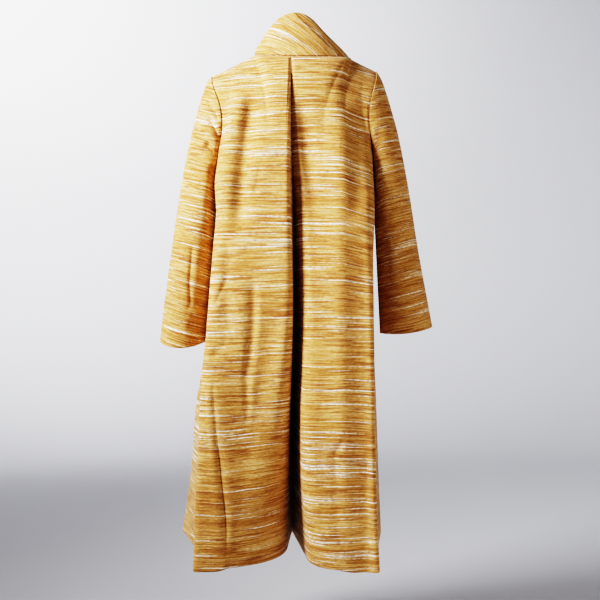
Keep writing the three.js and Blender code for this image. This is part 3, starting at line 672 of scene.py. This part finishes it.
def stitches(name, path, length, gap, width, thread):
    """A row of stitches along a path: each one is a flattened ellipsoid, a sphere of two angles
    stretched along the path, and all are worked out as one array."""
    run = run_along(path, 0)
    at = np.arange(length / 2, run[-1] - length / 2, length + gap)
    middle = np.stack([np.interp(at, run, path[:, k]) for k in range(3)], axis=-1)
    ahead = np.stack([np.interp(at + 0.5, run, path[:, k]) for k in range(3)], axis=-1)
    along = unit(ahead - middle)
    out = unit(np.cross(along, np.cross(np.array([0.0, -1.0, 0.0]), along)))
    side = np.cross(along, out)
    v = np.linspace(0, np.pi, STITCH_RINGS)[:, None]
    u = np.linspace(0, 2 * np.pi, STITCH_SIDES, endpoint=False)[None, :]
    a, b, c = np.cos(v) + 0 * u, np.sin(v) * np.cos(u), np.sin(v) * np.sin(u)
    points = middle[:, None, None]
    for share, half, way in ((a, length / 2, along), (b, width / 2, side), (c, width * STITCH_FLAT, out)):
        points = points + share[..., None] * half * way[:, None, None]
    count, rows, columns = points.shape[:3]
    i, j = np.meshgrid(np.arange(rows - 1), np.arange(columns), indexing="ij")
    base = np.arange(count)[:, None, None] * rows * columns
    corner = lambda di, dj: base + (i + di) * columns + (j + dj) % columns
    faces = np.stack([corner(0, 0), corner(1, 0), corner(1, 1), corner(0, 1)], axis=-1).reshape(-1, 4)
    mesh = bpy.data.meshes.new(name)
    mesh.from_pydata((points.reshape(-1, 3) * MM).tolist(), [], faces.tolist())
    mesh.polygons.foreach_set("use_smooth", np.ones(len(faces), dtype=bool))
    mesh.materials.append(thread)
    piece = bpy.data.objects.new(name, mesh)
    bpy.context.scene.collection.objects.link(piece)
    clean = bmesh.new()
    clean.from_mesh(mesh)
    bmesh.ops.remove_doubles(clean, verts=clean.verts, dist=1e-6)
    bmesh.ops.recalc_face_normals(clean, faces=clean.faces)
    clean.to_mesh(mesh)
    clean.free()
    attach(piece, "root")
    return piece


# ------------------------------------------------------------------ materials

MATH, MIX, RAMP, NOISE = (
    "ShaderNodeMath", "ShaderNodeMix", "ShaderNodeValToRGB", "ShaderNodeTexNoise"
)
THREADS_APART = 7.31  # step in the noise from one thread to the next, so that they are unlike
WEFT_WAVER, RELIEF = 0.012, 0.0012  # metres


def linear(colour):
    """A hex sRGB colour as linear RGBA."""
    value = np.array([int(colour[i : i + 2], 16) / 255 for i in (1, 3, 5)])
    rgb = np.where(value <= 0.04045, value / 12.92, ((value + 0.055) / 1.055) ** 2.4)
    return (*rgb.tolist(), 1.0)


def node(tree, kind, inputs, output=0, stops=(), **settings):
    """Adds a shader node and returns one of its outputs. Each input, by its place or its name,
    is fed by an output, a number or a hex colour. Stops are a ramp's places and their values."""
    made = tree.nodes.new(kind)
    for name, value in settings.items():
        setattr(made, name, value)
    for key, value in inputs.items():
        if isinstance(value, bpy.types.NodeSocket):
            tree.links.new(value, made.inputs[key])
        else:
            made.inputs[key].default_value = linear(value) if isinstance(value, str) else value
    for _ in stops[2:]:
        made.color_ramp.elements.new(0.5)
    for n, (place, value) in enumerate(stops):
        element = made.color_ramp.elements[n]
        element.position = place
        element.color = linear(value) if isinstance(value, str) else (value, value, value, 1.0)
    return made.outputs[output]


def threads(tree, uv, pitch, per_metre, seed):
    """Weft threads of one pitch: a value for each thread that drifts along its length, and the
    distance from the thread's middle, 0 to 1."""
    across = node(tree, "ShaderNodeSeparateXYZ", {0: uv}, output=0)
    up = node(tree, "ShaderNodeSeparateXYZ", {0: uv}, output=1)
    row = node(tree, MATH, {0: up, 1: pitch}, operation="DIVIDE")
    whole = node(tree, MATH, {0: row}, operation="FLOOR")
    along = node(tree, MATH, {0: across, 1: per_metre}, operation="MULTIPLY")
    apart = node(tree, MATH, {0: whole, 1: THREADS_APART}, operation="MULTIPLY")
    place = node(tree, "ShaderNodeCombineXYZ", {0: along, 1: apart, 2: seed})
    noise = node(tree, NOISE, {"Vector": place, "Scale": 1.0, "Detail": 2.0, "Roughness": 0.55})
    part = node(tree, MATH, {0: row}, operation="FRACT")
    centred = node(tree, MATH, {0: part, 1: 2.0, 2: -1.0}, operation="MULTIPLY_ADD")
    return noise, node(tree, MATH, {0: centred}, operation="ABSOLUTE")


def streaks(tree, uv, per_metre_across, per_metre_up, seed, detail=3.0, rough=0.65):
    """Noise drawn out along the weft: few changes a metre across, many up the cloth."""
    placed = node(
        tree, "ShaderNodeMapping",
        {0: uv, 1: (seed, seed * 1.7, 0.0), 3: (per_metre_across, per_metre_up, 1.0)},
    )
    return node(
        tree, NOISE, {"Vector": placed, "Scale": 1.0, "Detail": detail, "Roughness": rough},
        noise_dimensions="2D",
    )


def slub_cotton(name, look):
    """Hand-woven slub cotton, weft-faced: thick uneven weft threads in gold, ochre and rust with
    undyed cream slubs that come and go, over a warp that only shows as a fine grain."""
    cloth = bpy.data.materials.new(name)
    cloth.use_nodes = True
    tree = cloth.node_tree
    tree.nodes.clear()
    uv = node(tree, "ShaderNodeUVMap", {}, uv_map="cloth")
    # Hand weaving: the weft wavers a few millimetres along its length.
    waver = streaks(tree, uv, 5.0, 3.0, 3.1, 2.0, 0.5)
    centred = node(tree, MATH, {0: waver, 1: 0.5}, operation="SUBTRACT")
    lift = node(tree, MATH, {0: centred, 1: WEFT_WAVER}, operation="MULTIPLY")
    lifted = node(tree, "ShaderNodeCombineXYZ", {1: lift})
    uv = node(tree, "ShaderNodeVectorMath", {0: uv, 1: lifted}, operation="ADD")
    bands = streaks(tree, uv, 1.1, 22.0, 11.0, rough=0.6)
    groups = streaks(tree, uv, 1.3, 16.0, 87.0)
    grain = streaks(tree, uv, 110.0, 320.0, 71.0, 2.0, 0.75)
    ground, _ = threads(tree, uv, look.weft_spacing, 9.0, 1.0)
    dark, dark_aside = threads(tree, uv, look.weft_spacing * 1.35, 11.0, 23.0)
    cream, cream_aside = threads(tree, uv, look.slub_thickness, 4.5, 41.0)
    colour = node(
        tree, RAMP, {0: ground}, stops=((0.38, look.ochre), (0.5, look.gold), (0.62, look.straw))
    )
    band = node(tree, RAMP, {0: bands}, stops=((0.42, 0.0), (0.72, 0.45)))
    colour = node(tree, MIX, {0: band, 6: colour, 7: look.ochre}, output=2, data_type="RGBA")
    # A slub swells and dies away along its thread: it fills the thread's height only at its middle.
    rust = node(tree, MATH, {0: dark_aside, 1: -0.05, 2: dark}, operation="MULTIPLY_ADD")
    rust = node(tree, RAMP, {0: rust}, stops=((0.52, 0.0), (0.60, look.rust_share)))
    colour = node(tree, MIX, {0: rust, 6: colour, 7: look.rust}, output=2, data_type="RGBA")
    # Cream slubs come in groups a few centimetres high, with clear cloth between them.
    cluster = node(tree, RAMP, {0: groups}, stops=((0.44, 0.0), (0.62, look.slub_groups)))
    swollen = node(tree, MATH, {0: cream_aside, 1: -0.12, 2: cream}, operation="MULTIPLY_ADD")
    slub = node(tree, MATH, {0: swollen, 1: cluster}, operation="ADD")
    slub = node(tree, RAMP, {0: slub}, stops=((0.58, 0.0), (0.63, 1.0)))
    # The warp crosses every slub, so it is broken up into small dots of cream.
    dots = node(tree, RAMP, {0: grain}, stops=((0.36, 0.45), (0.54, 1.0)))
    dotted = node(tree, MATH, {0: slub, 1: dots}, operation="MULTIPLY")
    colour = node(tree, MIX, {0: dotted, 6: colour, 7: look.cream}, output=2, data_type="RGBA")
    speck = node(tree, RAMP, {0: grain}, stops=((0.30, 0.72), (0.5, 0.98), (0.70, 1.2)))
    colour = node(
        tree, MIX, {0: 1.0, 6: colour, 7: speck}, output=2, data_type="RGBA", blend_type="MULTIPLY"
    )
    # Relief: slubs stand up, weft ribs lie between them, and the warp gives the grain.
    height = node(tree, MATH, {0: slub, 1: 0.6, 2: ground}, operation="MULTIPLY_ADD")
    height = node(tree, MATH, {0: grain, 1: 0.8, 2: height}, operation="MULTIPLY_ADD")
    relief = node(
        tree, "ShaderNodeBump", {"Height": height, "Strength": 0.5, "Distance": RELIEF}
    )
    # Cotton is matt, and its loose fibres catch a little light at the edges.
    shader = node(tree, "ShaderNodeBsdfPrincipled", {
        "Base Color": colour, "Normal": relief, "Roughness": 0.86, "Specular IOR Level": 0.25,
        "Sheen Weight": 0.12, "Sheen Roughness": 0.45,
    })
    node_out = tree.nodes.new("ShaderNodeOutputMaterial")
    tree.links.new(shader, node_out.inputs[0])
    return cloth


def cloth_material():
    """The one cloth that every piece is cut from, made once."""
    name = "hand_woven_slub_cotton"
    if name in bpy.data.materials:
        return bpy.data.materials[name]
    return slub_cotton(name, bpy.context.scene.coat_cloth)


def plain_material(name, colour, roughness):
    """A plain matt surface."""
    made = bpy.data.materials.new(name)
    made.use_nodes = True
    shader = made.node_tree.nodes["Principled BSDF"]
    shader.inputs["Base Color"].default_value = linear(colour)
    shader.inputs["Roughness"].default_value = roughness
    return made


# ------------------------------------------------------------------ sizes and colours to change


class CoatSizes(bpy.types.PropertyGroup):
    """Sizes of the coat that can be changed."""

    thickness: bpy.props.FloatProperty(
        name="Cloth thickness", description="Thickness of the heavy cloth",
        default=0.002, unit="LENGTH",
    )
    seam_dip: bpy.props.FloatProperty(
        name="Seam dip", description="How far the cloth sinks at a seam",
        default=0.0012, unit="LENGTH",
    )
    crease_strength: bpy.props.FloatProperty(
        name="Crease strength", description="Depth of the creases against their own sizes",
        default=1.0, subtype="FACTOR",
    )
    stitch_inset: bpy.props.FloatProperty(
        name="Stitch inset", description="Distance of the topstitching from the seam",
        default=0.007, unit="LENGTH",
    )
    stitch: bpy.props.FloatProperty(
        name="Stitch length", description="Length of one topstitch", default=0.0032,
        unit="LENGTH",
    )


class CoatCloth(bpy.types.PropertyGroup):
    """Colours and threads of the cloth."""

    weft_spacing: bpy.props.FloatProperty(
        name="Weft spacing", description="Height of one weft thread", default=0.0021,
        unit="LENGTH",
    )
    slub_thickness: bpy.props.FloatProperty(
        name="Slub thickness", description="Height of a cream slub", default=0.0023,
        unit="LENGTH",
    )
    slub_groups: bpy.props.FloatProperty(
        name="Slub groups", description="How much denser the cream slubs are in their groups",
        default=0.06, subtype="FACTOR",
    )
    rust_share: bpy.props.FloatProperty(
        name="Rust share", description="Strength of the orange-brown threads",
        default=0.75, subtype="FACTOR",
    )
    straw: bpy.props.StringProperty(
        name="Straw", description="Lightest ground thread", default="#D8AC70"
    )
    gold: bpy.props.StringProperty(
        name="Gold", description="Common ground thread", default="#C08C4C"
    )
    ochre: bpy.props.StringProperty(
        name="Ochre", description="Dark ground thread", default="#A06830"
    )
    rust: bpy.props.StringProperty(
        name="Rust", description="Orange-brown slubs", default="#85491F"
    )
    cream: bpy.props.StringProperty(name="Cream", description="Undyed slubs", default="#FFFAEA")
    thread: bpy.props.StringProperty(
        name="Thread", description="Sewing thread", default="#8C5A22"
    )


class CoatStage(bpy.types.PropertyGroup):
    """The floor, the lights and the camera."""

    floor: bpy.props.StringProperty(name="Floor", description="Pale paper", default="#C6C6CA")
    room: bpy.props.StringProperty(name="Room", description="Light of the room", default="#EEF0F4")
    key_power: bpy.props.FloatProperty(
        name="Key light", description="Power of the large light", default=44.0, unit="POWER"
    )
    fill_power: bpy.props.FloatProperty(
        name="Fill light", description="Power of the weak light", default=9.0, unit="POWER"
    )
    wall_power: bpy.props.FloatProperty(
        name="Wall light", description="Power on the wall", default=210.0, unit="POWER"
    )
    surround: bpy.props.FloatProperty(
        name="Surround", description="Strength of the room's light", default=0.18
    )
    lens: bpy.props.FloatProperty(
        name="Lens", description="Focal length in millimetres", default=56.4, unit="CAMERA"
    )


# ------------------------------------------------------------------ operators


def bolt_uv(points, up, name):
    """Cloth coordinates in metres: across is the length run from the first column, up is the
    place along the warp, and both start at the piece's own place on the bolt."""
    return np.stack([run_along(points, 1), up], axis=-1) * MM + BOLT[name]


def panel_up(points, name):
    """Place of a panel's cloth along the warp: its height, with the weft's dip towards the right
    armhole and its rise near the fold."""
    x, z = points[..., 0], points[..., 2]
    if name == "back_right":
        slope = DIP["upper"] * smooth((z - DIP["low"]) / DIP["high"]) + DIP["all"]
        past = np.clip(x - DIP["start"], 0, None)
        return z + slope * past * smooth((x - DIP["start"] + 12) / DIP["blend"])
    if name == "back_left":
        slope = RISE["slope"] * smooth((RISE["top"] - z) / RISE["fade"])
        return z - slope * np.clip(x - RISE["start"], 0, RISE["reach"])
    return z


def panel_flat(points):
    """Flat width, length and area of a panel from its own grid, to the nearest millimetre."""
    wide = run_along(points, 1)[:, -1].max()
    long = run_along(points, 0)[-1].max()
    return (round(wide * MM, 3), round(long * MM, 3)), round(float(cloth_area(points)), 4)


def add_panel(side, face, sizes, rests_on):
    """Adds one back or front panel."""
    points, sign = finish_panel(side, face, sizes)
    name = f"{face}_{side}"
    uv = bolt_uv(points, panel_up(points, name), name)
    piece = make_mesh(f"coat_{name}", points, sign, uv, cloth_material(), sizes.thickness)
    declare(piece, name, *panel_flat(points), [rests_on])


class COAT_OT_backs(bpy.types.Operator):
    """Adds the two back panels with the open fold between them"""

    bl_idname = "coat.backs"
    bl_label = "Back panels"

    def execute(self, context):
        for side in ("left", "right"):
            add_panel(side, "back", context.scene.coat_sizes, "collar_wrap")
        return {"FINISHED"}


class COAT_OT_topstitching(bpy.types.Operator):
    """Adds the row of topstitches beside the centre back seam"""

    bl_idname = "coat.topstitching"
    bl_label = "Topstitching"

    def execute(self, context):
        sizes = context.scene.coat_sizes
        points, _ = finish_panel("left", "back", sizes)
        wanted = CENTRE_BACK_X - sizes.stitch_inset / MM
        inside_fold = points[..., 1] > STITCH_BEHIND
        column = (np.abs(points[..., 0] - wanted) + FAR * inside_fold).argmin(axis=1)
        path = points[np.arange(len(points)), column]
        path[:, 0] = wanted
        path = path[(path[:, 2] < STITCH_TOP) & (path[:, 2] > STITCH_FOOT)]
        path[:, 1] -= STITCH_PROUD
        # Spun polyester sewing thread: darker than the cloth and a little smoother.
        thread = plain_material("spun_polyester_thread", context.scene.coat_cloth.thread, 0.7)
        length = sizes.stitch / MM
        piece = stitches(
            "topstitch_centre_back", path, length, STITCH_GAP * length, STITCH_WIDTH, thread
        )
        return {"FINISHED"}


class COAT_OT_fronts(bpy.types.Operator):
    """Adds the two fronts, the right one lapped over the left"""

    bl_idname = "coat.fronts"
    bl_label = "Fronts"

    def execute(self, context):
        for side in ("left", "right"):
            add_panel(side, "front", context.scene.coat_sizes, f"coat_back_{side}")
        return {"FINISHED"}


class COAT_OT_sleeves(bpy.types.Operator):
    """Adds the two set-in sleeves"""

    bl_idname = "coat.sleeves"
    bl_label = "Sleeves"

    def execute(self, context):
        sizes = context.scene.coat_sizes
        for side in ("left", "right"):
            name = f"sleeve_{side}"
            points, sign = sleeve_surface(side, sizes)
            # The weft lies square to the arm on the outer side and level beside the body.
            reach = np.clip(OUT[side] * points[..., 0] - ARM_WEFT["start"], 0, None)
            turned = smooth(reach / ARM_WEFT["blend"] + ARM_WEFT["least"])
            uv = bolt_uv(points, points[..., 2] - ARM_WEFT["slope"] * reach * turned, name)
            piece = make_mesh(
                f"coat_{name}", points, sign, uv, cloth_material(), sizes.thickness, closed=True
            )
            declare(piece, name, *panel_flat(points), [f"coat_back_{side}"])
        return {"FINISHED"}


class COAT_OT_collar(bpy.types.Operator):
    """Adds the collar's inner layer and the outer one wrapped over it"""

    bl_idname = "coat.collar"
    bl_label = "Collar"

    def execute(self, context):
        sizes = context.scene.coat_sizes
        thickness = sizes.thickness / MM
        wrap, _ = collar_surface(WRAP["start"], WRAP["end"], wrap_top, 0.0, *WRAP["grid"])
        full, around = collar_surface(
            INNER["start"], INNER["end"], np.ones_like, INNER["lowest"], *INNER["grid"]
        )
        inner = full + grid_normals(full, -1.0) * -(thickness + 2 * SEAM_GAP)
        under = smooth((INNER["lap"] - around) / INNER["over"])
        inner[..., 1] -= under * (thickness + 3 * SEAM_GAP)
        for name, points in (("collar_wrap", wrap), ("collar_inner", inner)):
            x = points[..., 0]
            turned = np.clip(x - COLLAR_WEFT["start"], 0, COLLAR_WEFT["reach"])
            slope = COLLAR_WEFT["slope"] + COLLAR_WEFT["turn"] * turned
            uv = bolt_uv(points, points[..., 2] + slope * x, name)
            piece = make_mesh(f"coat_{name}", points, -1.0, uv, cloth_material(), sizes.thickness)
            declare(piece, name, *panel_flat(points), [])
        return {"FINISHED"}


FLOOR_Z, FLOOR_RADIUS, FLOOR_CURVE, WALL_HEIGHT = -1.42, 3.0, 1.6, 4.2
CAMERA = (0.017, -2.25, -0.565)
# The lights, in metres: name, place, aim, size, colour and spread in degrees.
LIGHTS = (
    ("key", (-2.25, -1.2, 0.8), (-0.1, 0, 0.12), (1.1, 1.3), (0.97, 0.99, 1.0), 66),
    ("fill", (1.5, -1.3, -0.9), (0, 0, -0.6), (1.4, 1.8), (1.0, 0.86, 0.7), 120),
    ("wall", (-2.8, 0.8, 2.4), (-1.7, 4.6, 1.3), (1.6, 1.6), (0.98, 0.99, 1.0), 96),
)


class COAT_OT_stage(bpy.types.Operator):
    """Adds the pale floor, the lights and the camera"""

    bl_idname = "coat.stage"
    bl_label = "Stage"

    def execute(self, context):
        scene = context.scene
        look = scene.coat_stage
        # A bowl: a flat floor, a quarter turn up and a straight wall, turned round the middle.
        angle = np.linspace(0, 2 * np.pi, 97)[None, :]
        turn = np.linspace(0, np.pi / 2, 25)
        outer = FLOOR_RADIUS + FLOOR_CURVE
        radius = [[0.0, 1.5, 2.4], FLOOR_RADIUS + FLOOR_CURVE * np.sin(turn), [outer]]
        height = [[0.0, 0.0, 0.0], FLOOR_CURVE * (1 - np.cos(turn)), [WALL_HEIGHT]]
        radius, height = (np.concatenate(part)[:, None] for part in (radius, height))
        points = stack(radius * np.cos(angle), radius * np.sin(angle), height + FLOOR_Z) / MM
        # Matt background paper, which gives no highlights.
        paper = plain_material("pale_paper", look.floor, 0.95)
        floor = make_mesh("studio_floor", points, -1.0, points[..., :2] * MM, paper, MM, closed=True)
        floor.modifiers.clear()

        for name, place, aim, size, colour, spread in LIGHTS:
            data = bpy.data.lights.new(name, "AREA")
            data.shape, (data.size, data.size_y) = "RECTANGLE", size
            data.energy, data.color = getattr(look, f"{name}_power"), colour
            data.spread = math.radians(spread)
            lamp = bpy.data.objects.new(name, data)
            scene.collection.objects.link(lamp)
            lamp.location = place
            lamp.rotation_euler = (Vector(aim) - Vector(place)).to_track_quat("-Z", "Y").to_euler()

        camera = bpy.data.cameras.new("camera")
        camera.lens, camera.sensor_width = look.lens, 36.0
        view = bpy.data.objects.new("camera", camera)
        scene.collection.objects.link(view)
        view.location = CAMERA
        view.rotation_euler = (math.pi / 2, 0, 0)
        scene.camera = view
        world = bpy.data.worlds.new("room")
        world.use_nodes = True
        sky = world.node_tree.nodes["Background"]
        sky.inputs[0].default_value = linear(look.room)
        sky.inputs[1].default_value = look.surround
        scene.world = world
        scene.view_settings.view_transform = "Filmic"
        scene.view_settings.look = "Very High Contrast"
        return {"FINISHED"}


class COAT_PT_panel(bpy.types.Panel):
    """Lists the coat's pieces in the sidebar"""

    bl_idname = "COAT_PT_panel"
    bl_label = "Long swing coat"
    bl_space_type = "VIEW_3D"
    bl_region_type = "UI"
    bl_category = "Coat"

    def draw(self, context):
        for group in (context.scene.coat_sizes, context.scene.coat_cloth, context.scene.coat_stage):
            box = self.layout.box()
            for name in group.__annotations__:
                box.prop(group, name)
        for operator in OPERATORS:
            self.layout.operator(operator.bl_idname)


OPERATORS = (
    COAT_OT_collar,
    COAT_OT_backs,
    COAT_OT_topstitching,
    COAT_OT_fronts,
    COAT_OT_sleeves,
    COAT_OT_stage,
)
CLASSES = (CoatSizes, CoatCloth, CoatStage, *OPERATORS, COAT_PT_panel)


def register():
    for cls in CLASSES:
        bpy.utils.register_class(cls)
    bpy.types.Scene.coat_sizes = bpy.props.PointerProperty(type=CoatSizes)
    bpy.types.Scene.coat_cloth = bpy.props.PointerProperty(type=CoatCloth)
    bpy.types.Scene.coat_stage = bpy.props.PointerProperty(type=CoatStage)


def unregister():
    del bpy.types.Scene.coat_sizes, bpy.types.Scene.coat_cloth, bpy.types.Scene.coat_stage
    for cls in reversed(CLASSES):
        bpy.utils.unregister_class(cls)


def main():
    """Registers the add-on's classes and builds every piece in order."""
    register()
    bpy.ops.coat.collar()
    bpy.ops.coat.backs()
    bpy.ops.coat.topstitching()
    bpy.ops.coat.fronts()
    bpy.ops.coat.sleeves()
    bpy.ops.coat.stage()


if __name__ == "__main__":
    main()
